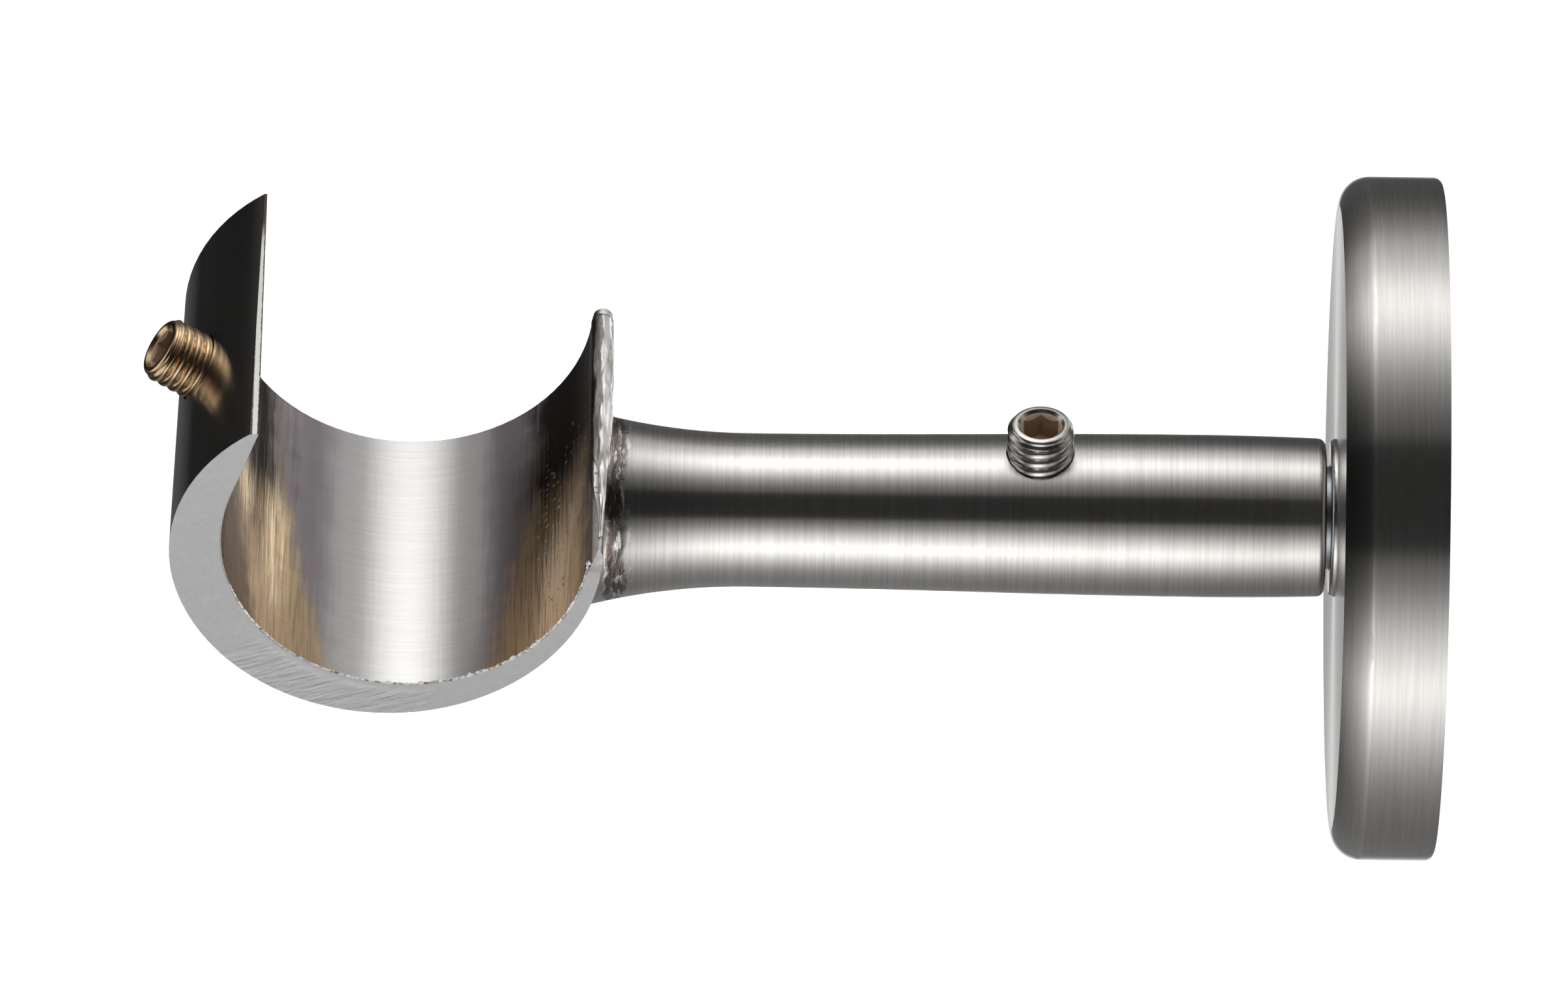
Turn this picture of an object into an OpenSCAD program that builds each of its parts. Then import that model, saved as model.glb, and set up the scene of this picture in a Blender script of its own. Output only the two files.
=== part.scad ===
// Cup bracket for a curtain pole.
// A cast cup and arm slide on a spigot that stands on a fixing plate behind a round wall rose.
// Millimetres. +X points into the wall, the pole lies along Y, +Z is up.
// The origin is on the wall, on the axis of the arm.

/* [Pole] */
// Diameter of the pole that the cup takes
pole_d = 30; // [26:0.5:33]
// Play of the pole in the bore of the cup, on the diameter
pole_play = 2; // [1.5:0.1:3]
// Distance from the wall to the middle of the cup's bore
bore_reach = 90.3; // [80:0.1:120]
// Height of the bore's middle above the arm's axis
pole_rise = 9.5; // [8.5:0.5:11.5]

/* [Cup] */
// Width of the cup along the pole
cup_w = 33; // [26:1:40]
// Mean thickness of the cup's wall
cup_wall = 2.9; // [2.5:0.1:3.4]
// How far the outer circle lies off the bore, away from the wall
wall_shift = 1.45; // [1.2:0.05:1.8]
// How far the outer circle lies below the bore
floor_shift = 0.5; // [0.3:0.1:0.9]
// Height of the pointed tip above the bore's middle
tip_rise = 12.1; // [10.5:0.2:12.9]
// Width of the narrow land on the tip
tip_land = 0.5; // [0.2:0.1:0.8]
// Distance from the bore's middle to the tip's inner edge, across the pole
tip_reach = 12.7; // [12.3:0.1:13.3]
// Turn of the cup's outside about the upright, against the bore, in degrees
cup_skew = 0.9; // [0:0.1:1.2]
// Thickness of the inner lip at its thin end
lip_thin = 0.4; // [0.3:0.1:0.8]
// Drop of the inner lip's top below the bore's middle
lip_drop = 0.4; // [0.2:0.1:1]

/* [Arm] */
// Radius of the arm at its waist
waist_r = 6.75; // [6.2:0.05:7.2]
// Radius of the arm where it swells
swell_r = 7.15; // [6.8:0.05:7.6]
// Radius of the arm at the wall end
arm_end_r = 6.95; // [6.6:0.05:7.4]
// Radius of the rounded edge at the wall end
arm_edge_r = 0.7; // [0.3:0.1:1]
// Distance from the wall to the widest swell
swell_x = 21; // [18:1:26]
// Length of the flare from the waist into the cup
flare_l = 14.5; // [12:0.5:18]
// Radius of the curve that flares the arm into the cup
flare_r = 56; // [45:1:80]
// How far the flare runs on inside the cup's side before it is a plain boss
flare_sink = 2.1; // [1:0.1:2.5]

/* [Rose] */
// Diameter of the wall rose
rose_d = 60; // [52:1:70]
// Depth of the rose from the wall to its face
rose_t = 9; // [7.5:0.5:12]
// Thickness of the rose's shell
rose_wall = 1.8; // [1.4:0.1:2.2]
// Radius of the rose's front edge
rose_front_r = 2.6; // [2:0.1:3.2]
// Radius of the rose's edge at the wall
rose_back_r = 0.8; // [0.4:0.1:1]
// Height of the raised seat round the rose's hole
seat_h = 0.5; // [0.3:0.1:1]
// Radius of the raised seat's edge
seat_edge_r = 0.4; // [0.1:0.05:0.45]
// Gap between the arm's end and the seat
arm_gap = 0.4; // [0.2:0.1:1]

/* [Spigot and plate] */
// Radius of the spigot
spigot_r = 4.5; // [4:0.1:4.8]
// Length of the spigot from the wall to its end
spigot_l = 39; // [36:0.5:45]
// Chamfer on the spigot's end
spigot_chamfer = 0.8; // [0.4:0.1:1.2]
// Radius of the spigot's shoulder
shoulder_r = 7.5; // [6.5:0.1:8.5]
// Thickness of the spigot's shoulder
shoulder_t = 1.6; // [1.2:0.1:2]
// Radius of the tenon that is riveted through the plate
tenon_r = 3; // [2.5:0.1:3.5]
// Radius of the riveted head
rivet_r = 4; // [3.6:0.1:4.4]
// Clearance between the fixing plate's rim and the rose's inside
plate_gap = 4.2; // [3:0.1:6]
// Thickness of the fixing plate
plate_t = 2.5; // [2:0.25:3]
// Diameter of the circle on which the wall screws' holes lie
screw_pcd = 33; // [30:1:36]
// Radius of the wall screws' holes
screw_hole_r = 2.4; // [2:0.1:2.6]
// Radius of the countersink for the wall screws
sink_r = 4.2; // [3.8:0.1:4.6]

/* [Grub screws] */
// Radius of both grub screws over the thread
grub_r = 2.95; // [2.4:0.05:3]
// Length of the grub screw on the arm
arm_grub_l = 5.7; // [5:0.1:8]
// Length of the grub screw on the cup
pole_grub_l = 6; // [5.6:0.1:6.2]
// Chamfer at the socket end of a grub screw
grub_chamfer = 0.4; // [0.2:0.05:0.6]
// Chamfer at the point of a grub screw
point_chamfer = 0.6; // [0.3:0.05:0.9]
// Radius of the round countersink above the hexagon
socket_rim_r = 2.05; // [1.85:0.05:2.2]
// Width of the hexagon socket across its flats
socket_af = 3; // [2.5:0.1:3.2]
// Depth of the hexagon socket
socket_depth = 2.6; // [2:0.1:3]
// Distance from the spigot's end back to the arm's grub screw
arm_grub_back = 4; // [3.5:0.5:8]
// Slope of the cup's grub screw above the horizontal
pole_grub_slope = 35; // [32:1:37]
// How far the cup's grub screw stands out of the wall, along its middle
pole_grub_out = 3.9; // [3.5:0.1:4.2]
// Height above the bore's middle at which the cup's grub screw leaves the wall
pole_grub_rise = 6; // [5.5:0.1:6.5]

/* [Fits] */
// Running clearance on the radius of each fit
fit_gap = 0.05; // [0.02:0.01:0.08]
// Clearance on the radius between the rose and the spigot
rose_gap = 0.2; // [0.1:0.05:0.3]
// Depth of the arm's blind bore past the end of the spigot
bore_spare = 2; // [1:0.5:3]

/* [Hidden] */
over = 0.02 * rose_d;
fine = 96;

nickel = "#b9b5ae";
zinc = "#c5ccd3";
steel = "#8c8984";

// Cup section, seen along the pole. x runs to the wall and y is up.
bore_r = (pole_d + pole_play) / 2;
bore_x = -bore_reach;
outer_r = bore_r + cup_wall;
outer_x = bore_x - wall_shift;
outer_z = pole_rise - floor_shift;
tip_x = bore_x - tip_reach;
tip_z = pole_rise + tip_rise;

// The outer lip's back is an arc that leaves the outer circle smoothly, this far below its far side,
// and ends at the tip's land
brow_angle = 15;
brow_run = outer_x - tip_x + tip_land - outer_r * cos(brow_angle);
brow_climb = tip_z - outer_z + outer_r * sin(brow_angle);
brow_lean = outer_r - (outer_x - tip_x + tip_land) * cos(brow_angle) + (tip_z - outer_z) * sin(brow_angle);
brow_r = (brow_run * brow_run + brow_climb * brow_climb) / (2 * brow_lean);
brow_x = outer_x - (outer_r - brow_r) * cos(brow_angle);
brow_z = outer_z - (outer_r - brow_r) * sin(brow_angle);
brow_start_x = outer_x - outer_r * cos(brow_angle);
brow_start_z = outer_z - outer_r * sin(brow_angle);

// The inner lip is thickest at its back end, because the cup's outside is turned against the bore
skew_shift = cup_w / 2 * sin(cup_skew);
lip_x = outer_x + outer_r;
lip_z = pole_rise - lip_drop;
lip_nose_r = (lip_x + skew_shift - bore_x - bore_r) / 2;
lip_nose_z = lip_z - lip_nose_r;

// It thins towards its front end, over this share of the cup's width and from this far round the bore
lip_taper_share = 0.5;
lip_taper_angle = 15;
lip_front_x = lip_x - skew_shift;
lip_foot_x = bore_x + bore_r * cos(lip_taper_angle);
lip_foot_z = pole_rise - bore_r * sin(lip_taper_angle);

// Where the straight inside of the tip touches the bore
tip_far = sqrt(tip_reach * tip_reach + tip_rise * tip_rise);
touch_angle = atan2(tip_rise, tip_reach) - acos(bore_r / tip_far);
touch_x = bore_x - bore_r * cos(touch_angle);
touch_z = pole_rise + bore_r * sin(touch_angle);

// Arm
arm_end_x = rose_t + seat_h + arm_gap;
flare_end_x = flare_sink - lip_x;
waist_x = flare_end_x - flare_l;
boss_r = arm_radius(flare_end_x);
boss_in_x = -outer_x;
arm_steps = 12;

// Rose, spigot and plate
rose_r = rose_d / 2;
plate_r = rose_r - rose_wall - plate_gap;
seat_r = arm_end_r;
arm_grub_x = spigot_l - arm_grub_back;
grub_seat_z = spigot_r + fit_gap;
screw_count = 3;
sink_h = sink_r - screw_hole_r;
rivet_h = rivet_r - tenon_r;

// Point where the middle of the cup's grub screw leaves the wall
foot_z = pole_rise + pole_grub_rise;
foot_rise = foot_z - brow_z;
foot_x = brow_x - sqrt(brow_r * brow_r - foot_rise * foot_rise);

// Radius of the arm at a distance from the wall
function arm_radius(x) =
    x > waist_x ? waist_r + flare_r - sqrt(flare_r * flare_r - (x - waist_x) * (x - waist_x)) :
    x > swell_x ? waist_r + (swell_r - waist_r) * (1 + cos(180 * (x - swell_x) / (waist_x - swell_x))) / 2 :
    arm_end_r + (swell_r - arm_end_r) * (1 - pow((swell_x - x) / (swell_x - arm_end_x), 2));

// Points along the arm's side between two distances from the wall
function arm_side(from, to) = [
    for (i = [0 : arm_steps])
        let (x = from + (to - from) * i / arm_steps)
        [arm_radius(x), x]
];

// Turns a solid made along +Z so that it runs from the wall into the room
module along_arm() {
    rotate([0, -90, 0])
        children();
}

// Half of the arm's section, with its rounded end edge
module arm_section() {
    difference() {
        polygon(concat(
            [[0, arm_end_x]],
            arm_side(arm_end_x, swell_x),
            arm_side(swell_x, waist_x),
            arm_side(waist_x, flare_end_x),
            [[boss_r, boss_in_x], [0, boss_in_x]]
        ));
        translate([arm_end_r - arm_edge_r, arm_end_x])
            difference() {
                translate([0, -over])
                    square([arm_edge_r + over, arm_edge_r + over]);
                translate([0, arm_edge_r])
                    circle(arm_edge_r, $fn = fine);
            }
    }
}

// Everything inside the outer skin of the cup, bore included
module cup_outline() {
    intersection() {
        translate([outer_x, outer_z])
            circle(outer_r, $fn = fine);
        translate([outer_x - 2 * outer_r, outer_z - 2 * outer_r])
            union() {
                square([2 * outer_r, 2 * outer_r + brow_start_z - outer_z]);
                translate([2 * outer_r, 0])
                    square([2 * outer_r, 2 * outer_r + lip_nose_z - outer_z]);
            }
    }
    intersection() {
        translate([brow_x, brow_z])
            circle(brow_r, $fn = fine);
        polygon([
            [brow_start_x - brow_r, brow_start_z],
            [brow_start_x, brow_start_z],
            [bore_x, brow_start_z - bore_r / 2],
            [bore_x, tip_z],
            [brow_start_x - brow_r, tip_z]
        ]);
    }
    translate([lip_x - lip_nose_r, lip_nose_z])
        circle(lip_nose_r, $fn = fine);
}

// Space inside the cup: the bore, and the open mouth above it
module cup_mouth() {
    translate([bore_x, pole_rise])
        circle(bore_r, $fn = fine);
    polygon([
        [bore_x, pole_rise],
        [touch_x, touch_z],
        [tip_x, tip_z],
        [tip_x, tip_z + over],
        [bore_x + bore_r, tip_z + over],
        [bore_x + bore_r, pole_rise]
    ]);
}

// Lays a section drawn in x and height along the pole
module along_pole(width) {
    rotate([90, 0, 0])
        linear_extrude(width, center = true)
            children();
}

// Stands a plan drawn in x and along the pole up past the cup's whole height
module through_cup() {
    translate([0, 0, outer_z - 2 * outer_r])
        linear_extrude(4 * outer_r)
            children();
}

// The cup's outside, turned a little about the upright and cut square to the pole
module cup_outside() {
    intersection() {
        translate([outer_x, 0, 0])
            rotate([0, 0, -cup_skew])
                translate([-outer_x, 0, 0])
                    along_pole(cup_w + 2 * over)
                        cup_outline();
        translate([outer_x - 2 * outer_r, -cup_w / 2, outer_z - 2 * outer_r])
            cube([4 * outer_r, cup_w, 4 * outer_r]);
    }
}

// The slanting cut that thins the inner lip towards its front end
module lip_taper() {
    half = cup_w / 2;
    back = half - lip_taper_share * cup_w;
    intersection() {
        along_pole(cup_w + 2 * over)
            polygon([
                [lip_foot_x, lip_foot_z],
                [lip_front_x - lip_thin, lip_z],
                [lip_front_x - lip_thin, lip_z + over],
                [bore_x, lip_z + over],
                [bore_x, lip_foot_z]
            ]);
        through_cup()
            polygon([
                [bore_x, -half - over],
                [lip_front_x, -half - over],
                [lip_front_x, -half],
                [lip_foot_x, -back],
                [bore_x, -back]
            ]);
    }
}

// Places a grub screw's own axis, with its socket end up, on the arm
module at_arm_grub() {
    translate([-arm_grub_x, 0, grub_seat_z])
        children();
}

// Places a grub screw's own axis on the cup, with the origin at its point
module at_pole_grub() {
    translate([foot_x, 0, foot_z])
        rotate([0, pole_grub_slope - 90, 0])
            translate([0, 0, pole_grub_out - pole_grub_l])
                children();
}

module cup_arm() {
    color(nickel)
        difference() {
            union() {
                cup_outside();
                along_arm()
                    rotate_extrude($fn = fine)
                        arm_section();
            }
            along_pole(cup_w + over)
                cup_mouth();
            lip_taper();
            along_arm()
                cylinder(h = spigot_l + bore_spare, r = spigot_r + fit_gap, $fn = fine);
            translate([-arm_grub_x, 0, 0])
                cylinder(h = swell_r + over, r = grub_r + fit_gap, $fn = fine);
            at_pole_grub()
                translate([0, 0, -bore_r / 2])
                    cylinder(h = bore_r / 2 + pole_grub_l + over, r = grub_r + fit_gap, $fn = fine);
        }
}

// A socket set screw with a cup point, its point at the origin and its socket up
module grub_screw(length) {
    ring_r = grub_r - grub_chamfer;
    sink_depth = (socket_rim_r - socket_af / 2) / 2;
    difference() {
        rotate_extrude($fn = fine)
            polygon([
                [0, point_chamfer / 2],
                [grub_r - 2 * point_chamfer, 0],
                [grub_r - point_chamfer, 0],
                [grub_r, point_chamfer],
                [grub_r, length - grub_chamfer],
                [ring_r, length],
                [0, length]
            ]);
        translate([0, 0, length - sink_depth])
            cylinder(h = 2 * sink_depth, r1 = socket_rim_r - sink_depth, r2 = socket_rim_r + sink_depth, $fn = fine);
        translate([0, 0, length - socket_depth])
            cylinder(h = socket_depth + over, r = socket_af / 2 / cos(30), $fn = 6);
    }
}

module arm_grub_screw() {
    color(nickel)
        at_arm_grub()
            grub_screw(arm_grub_l);
}

module pole_grub_screw() {
    color(nickel)
        at_pole_grub()
            grub_screw(pole_grub_l);
}

// Half of a round disc's section with both edges rounded, from the wall out
module rose_block(radius, depth, front_r, back_r) {
    square([radius - front_r, depth]);
    translate([0, back_r])
        square([radius, depth - back_r - front_r]);
    square([radius - back_r, back_r]);
    translate([radius - front_r, depth - front_r])
        circle(front_r, $fn = fine);
    translate([radius - back_r, back_r])
        circle(back_r, $fn = fine);
}

module wall_rose() {
    inner_front_r = rose_front_r - rose_wall / 2;
    hollow_depth = rose_t - rose_wall;
    color(nickel)
        along_arm()
            difference() {
                union() {
                    rotate_extrude($fn = fine)
                        rose_block(rose_r, rose_t, rose_front_r, rose_back_r);
                    rotate_extrude($fn = fine)
                        rose_block(seat_r, rose_t + seat_h, seat_edge_r, seat_edge_r);
                }
                translate([0, 0, -2 * inner_front_r])
                    rotate_extrude($fn = fine)
                        rose_block(rose_r - rose_wall, hollow_depth + 2 * inner_front_r, inner_front_r, inner_front_r);
                translate([0, 0, -over])
                    cylinder(h = rose_t + seat_h + 2 * over, r = spigot_r + rose_gap, $fn = fine);
            }
}

module spigot() {
    tenon_gap_r = tenon_r - fit_gap;
    color(zinc)
        along_arm()
            rotate_extrude($fn = fine)
                polygon([
                    [0, 0],
                    [rivet_r - fit_gap, 0],
                    [tenon_gap_r, rivet_h],
                    [tenon_gap_r, plate_t],
                    [shoulder_r, plate_t],
                    [shoulder_r, plate_t + shoulder_t],
                    [spigot_r, plate_t + shoulder_t],
                    [spigot_r, spigot_l - spigot_chamfer],
                    [spigot_r - spigot_chamfer, spigot_l],
                    [0, spigot_l]
                ]);
}

module wall_plate() {
    color(steel)
        along_arm()
            difference() {
                cylinder(h = plate_t, r = plate_r, $fn = fine);
                translate([0, 0, -over])
                    cylinder(h = plate_t + 2 * over, r = tenon_r, $fn = fine);
                cylinder(h = rivet_h, r1 = rivet_r, r2 = tenon_r, $fn = fine);
                for (i = [0 : screw_count - 1])
                    rotate([0, 0, 360 * i / screw_count])
                        translate([screw_pcd / 2, 0, 0]) {
                            translate([0, 0, -over])
                                cylinder(h = plate_t + 2 * over, r = screw_hole_r, $fn = fine);
                            translate([0, 0, plate_t - sink_h])
                                cylinder(h = sink_h + over, r1 = screw_hole_r, r2 = sink_r + over, $fn = fine);
                        }
            }
}

cup_arm();
arm_grub_screw();
pole_grub_screw();
wall_rose();
spigot();
wall_plate();
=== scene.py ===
import bpy
import bmesh
import math
from mathutils import Matrix, Vector, noise


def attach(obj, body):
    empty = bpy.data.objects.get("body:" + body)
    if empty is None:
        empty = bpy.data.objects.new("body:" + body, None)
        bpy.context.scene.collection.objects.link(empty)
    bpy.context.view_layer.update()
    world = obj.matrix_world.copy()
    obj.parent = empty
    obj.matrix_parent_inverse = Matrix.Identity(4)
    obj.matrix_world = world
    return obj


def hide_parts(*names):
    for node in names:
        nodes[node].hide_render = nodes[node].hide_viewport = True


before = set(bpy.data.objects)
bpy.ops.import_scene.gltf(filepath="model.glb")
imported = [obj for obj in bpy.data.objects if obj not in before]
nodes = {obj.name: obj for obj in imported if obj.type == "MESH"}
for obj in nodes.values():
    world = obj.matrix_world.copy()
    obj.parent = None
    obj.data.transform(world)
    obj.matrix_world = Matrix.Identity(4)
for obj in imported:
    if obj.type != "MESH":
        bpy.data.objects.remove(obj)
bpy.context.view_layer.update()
mm = 0.001
print("the packed model is in:", ", ".join(sorted(nodes)))


def toLinear(hexCode):
    # an sRGB hex colour as the linear values that the shaders take
    channels = [int(hexCode[i:i + 2], 16) / 255 for i in (1, 3, 5)]
    return [c / 12.92 if c <= 0.04045 else ((c + 0.055) / 1.055) ** 2.4 for c in channels] + [1]


def addNode(tree, kind, inputs=None, **settings):
    # adds one node; an input is a plain value or the socket that feeds it
    node = tree.nodes.new("ShaderNode" + kind)
    for name, value in settings.items():
        setattr(node, name, value)
    for socket, value in (inputs or {}).items():
        if isinstance(value, bpy.types.NodeSocket):
            tree.links.new(value, node.inputs[socket])
        else:
            node.inputs[socket].default_value = value
    return node


def newMaterial(name):
    material = bpy.data.materials.new(name)
    material.use_nodes = True
    material.node_tree.nodes.clear()
    return material, material.node_tree


def addObject(name, mesh, material=None):
    thing = bpy.data.objects.new(name, mesh)
    bpy.context.scene.collection.objects.link(thing)
    if material:
        mesh.materials.append(material)
    return thing


# The camera stands where the photo's did: a long lens, looking down on the bracket from the front

camera = {
    "photoWidth": 2408,        # pixels across the photo
    "focalPixels": 30000,      # focal length in the photo's pixels
    "sensor": 36,              # mm
    "elevation": 40,           # degrees above the horizon
    "turn": 0.51,              # degrees round to the left of the pole's own direction
    "roll": 1.1,               # degrees
    "distance": 1714.4,        # mm from the frame's middle
    "aim": (-57.33, 1.64),     # mm right of and above the wall point, as the camera sees it
}


def makeCamera(values):
    lens = bpy.data.cameras.new("studioCamera")
    lens.sensor_width = values["sensor"]
    lens.lens = values["focalPixels"] * values["sensor"] / values["photoWidth"]
    lens.clip_start = 0.1
    lens.clip_end = 20
    turned = (Matrix.Rotation(-math.radians(values["turn"]), 3, "Z")
              @ Matrix.Rotation(math.radians(90 - values["elevation"]), 3, "X")
              @ Matrix.Rotation(math.radians(values["roll"]), 3, "Z"))
    right, up = values["aim"]
    place = turned @ Vector((right, up, values["distance"])) * mm
    camera = bpy.data.objects.new("studioCamera", lens)
    camera.matrix_world = Matrix.Translation(place) @ turned.to_4x4()
    bpy.context.scene.collection.objects.link(camera)
    bpy.context.scene.camera = camera


makeCamera(camera)
print("camera done")


# Studio: a pale floor, a white surround, one softbox behind and above, one low in front,
# and black flags that only the metal sees, as such a bracket is lit for a catalogue

studio = {
    "floorHeight": -0.5,
    "floorSize": 8,
    "paper": "#f4f4f2",
    "surroundLevel": 0.75,
    "lampSize": 1.2,
    "lampHeight": 1.3,
    "lampPower": 14,
    "tentRadius": 0.45,
    "tentMiddle": -0.1,
}

# what the metal sees round the bracket, from straight in front over the top to the back and underneath:
# (degrees, level)
tentCards = {
    "cameraFlag": [(28, 0.03), (66, 0.03)],
    "overheadSoftbox": [(66, 0.12), (72, 0.16), (77, 0.23), (82, 0.33), (88, 0.5), (95, 0.8), (101, 1.15),
                        (108, 1.5), (114, 1.72), (122, 1.55), (131, 1.02), (141, 0.7), (152, 0.28)],
    "backFlag": [(152, 0.28), (163, 0.14), (177, 0.09), (205, 0.09)],
    "backFloor": [(205, 0.1), (210, 0.75), (216, 1.4), (226, 1.4), (234, 0.7), (240, 0.2)],
    "underFlag": [(240, 0.2), (270, 0.2), (282, 0.23)],
    "frontBounce": [(282, 0.23), (293, 0.29), (302, 0.39), (310, 0.56), (318, 0.78), (325, 1.08),
                    (332, 1.4), (339, 1.7), (345, 1.7), (352, 1.38), (358, 1.1), (364, 0.85), (370, 0.58),
                    (376, 0.36), (381, 0.25), (388, 0.13)],
}


# how the light falls off to the left and right of the bracket: (metres from the middle, share)
tentSides = [(-0.9, 0.8), (-0.65, 0.4), (-0.5, 0.12), (-0.32, 0.15), (-0.24, 0.22), (-0.19, 0.38), (-0.14, 0.66),
             (-0.09, 1.1), (-0.04, 1.38), (0, 1.44), (0.04, 1.38), (0.09, 1.14), (0.14, 0.7), (0.19, 0.48),
             (0.24, 0.38), (0.32, 0.33), (0.5, 0.3), (0.8, 0.3)]
# the floor behind is in the cup's shade and clear behind the rose
backFloorSides = [(-0.8, 0.06), (-0.1, 0.06), (-0.03, 0.12), (0, 0.16), (0.05, 0.45), (0.09, 0.9), (0.15, 1), (0.3, 1),
                  (0.5, 0.5), (0.9, 0.2)]
# small softboxes behind, to the left and right of the overhead one: they light the sides of the bore
rearCards = {
    "rearLeftSoftbox": ([(138, 0.45), (146, 0.55), (154, 0.55), (162, 0.35), (168, 0.12)],
                        [(-0.36, 0.12), (-0.3, 0.6), (-0.24, 1.0), (-0.19, 0.8), (-0.14, 0.45)]),
    "rearRightSoftbox": ([(138, 0.5), (146, 0.7), (154, 0.7), (162, 0.45), (168, 0.2)],
                         [(0.14, 0.45), (0.19, 0.8), (0.26, 1.0), (0.36, 0.8), (0.46, 0.3)]),
    "sideBounce": ([(168, 0.3), (177, 3.0), (190, 5.0), (202, 3.6), (208, 0.8)],
                   [(0.25, 0.12), (0.31, 0.8), (0.38, 1.0), (0.46, 0.8), (0.56, 0.2)]),
}


def makeTentCard(name, stops, sides, values, nearer=0.0):
    # a curved card round the bracket, seen by the metal alone, lit by the levels at its stops
    bm = bmesh.new()
    level = bm.loops.layers.float_color.new("level")
    radius = values["tentRadius"] - nearer
    rows = []
    for degrees, brightness in stops:
        angle = math.radians(degrees)
        y = -radius * math.cos(angle)
        z = radius * math.sin(angle)
        rows.append([bm.verts.new((values["tentMiddle"] + x, y, z)) for x, share in sides])
    for i in range(len(rows) - 1):
        for j in range(len(sides) - 1):
            corners = ((i, j), (i, j + 1), (i + 1, j + 1), (i + 1, j))
            face = bm.faces.new([rows[a][b] for a, b in corners])
            for loop, (a, b) in zip(face.loops, corners):
                loop[level] = [stops[a][1] * sides[b][1]] * 3 + [1]
    mesh = bpy.data.meshes.new(name)
    bm.to_mesh(mesh)
    bm.free()
    material, tree = newMaterial(name)
    material.cycles.emission_sampling = "NONE"
    shade = addNode(tree, "VertexColor", layer_name="level")
    glow = addNode(tree, "Emission", {"Color": shade.outputs["Color"], "Strength": 1.0})
    addNode(tree, "OutputMaterial", {"Surface": glow.outputs[0]})
    card = addObject(name, mesh, material)
    card.visible_camera = False
    card.visible_diffuse = False
    card.visible_shadow = False
    card.visible_transmission = False


def makeStudio(values):
    scene = bpy.context.scene
    scene.view_settings.view_transform = "Standard"
    world = bpy.data.worlds.new("studio")
    world.use_nodes = True
    scene.world = world
    tree = world.node_tree
    tree.nodes.clear()
    path = addNode(tree, "LightPath")
    seen = addNode(tree, "Math", {0: path.outputs["Is Camera Ray"], 1: path.outputs["Is Glossy Ray"]}, operation="MAXIMUM")
    seen = addNode(tree, "Math", {0: seen.outputs[0], 1: path.outputs["Is Transmission Ray"]}, operation="MAXIMUM")
    level = addNode(tree, "MapRange", {"Value": seen.outputs[0], "To Min": values["surroundLevel"], "To Max": 1.0})
    back = addNode(tree, "Background", {"Color": (1, 1, 1, 1), "Strength": level.outputs[0]})
    addNode(tree, "OutputWorld", {"Surface": back.outputs[0]})

    half = values["floorSize"] / 2
    bm = bmesh.new()
    corners = [bm.verts.new((x * half, y * half, values["floorHeight"])) for x, y in ((-1, -1), (1, -1), (1, 1), (-1, 1))]
    bm.faces.new(corners)
    mesh = bpy.data.meshes.new("floor")
    bm.to_mesh(mesh)
    bm.free()
    material, tree = newMaterial("pale paper")
    path = addNode(tree, "LightPath")
    seen = addNode(tree, "Math", {0: path.outputs["Is Camera Ray"], 1: path.outputs["Is Glossy Ray"]}, operation="MAXIMUM")
    seen = addNode(tree, "Math", {0: seen.outputs[0], 1: path.outputs["Is Transmission Ray"]}, operation="MAXIMUM")
    lift = addNode(tree, "MapRange", {"Value": seen.outputs[0], "To Min": 0.0, "To Max": 0.25})
    glow = addNode(tree, "Emission", {"Color": (1, 1, 1, 1), "Strength": lift.outputs[0]})
    paper = addNode(tree, "BsdfDiffuse", {"Color": toLinear(values["paper"])})
    both = addNode(tree, "AddShader", {0: paper.outputs[0], 1: glow.outputs[0]})
    side = addNode(tree, "NewGeometry")
    clear = addNode(tree, "BsdfTransparent")
    sheet = addNode(tree, "MixShader", {0: side.outputs["Backfacing"], 1: both.outputs[0], 2: clear.outputs[0]})
    addNode(tree, "OutputMaterial", {"Surface": sheet.outputs[0]})  # seen from below, the floor is clear
    floor = addObject("floor", mesh, material)

    lamp = bpy.data.lights.new("overheadLamp", "AREA")
    lamp.shape = "SQUARE"
    lamp.size = values["lampSize"]
    lamp.energy = values["lampPower"]
    holder = bpy.data.objects.new("overheadLamp", lamp)
    holder.location = (0, 0.3, values["lampHeight"])
    holder.visible_glossy = False
    scene.collection.objects.link(holder)

    for name, stops in tentCards.items():
        makeTentCard(name, stops, backFloorSides if name == "backFloor" else tentSides, values)
    for name, (stops, sides) in rearCards.items():
        makeTentCard(name, stops, sides, values, 0.006)


makeStudio(studio)
print("studio done")


# Where the metal lies and how a point is told from its neighbours, in the part's own millimetres

def partPlace(tree):
    # the point on the part in millimetres, whole and in its three directions
    coordinates = addNode(tree, "TexCoord")
    place = addNode(tree, "VectorMath", {0: coordinates.outputs["Object"], "Scale": 1000}, operation="SCALE").outputs[0]
    split = addNode(tree, "SeparateXYZ", {0: place})
    return place, split.outputs[0], split.outputs[1], split.outputs[2]


def maths(tree, operation, first, second=0.0, third=0.0):
    return addNode(tree, "Math", {0: first, 1: second, 2: third}, operation=operation).outputs[0]


def between(tree, value, low, high, start=0.0, end=1.0):
    # a smooth step from start to end while the value goes from low to high
    return addNode(tree, "MapRange", {"Value": value, "From Min": low, "From Max": high, "To Min": start, "To Max": end},
                   interpolation_type="SMOOTHSTEP").outputs[0]


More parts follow.
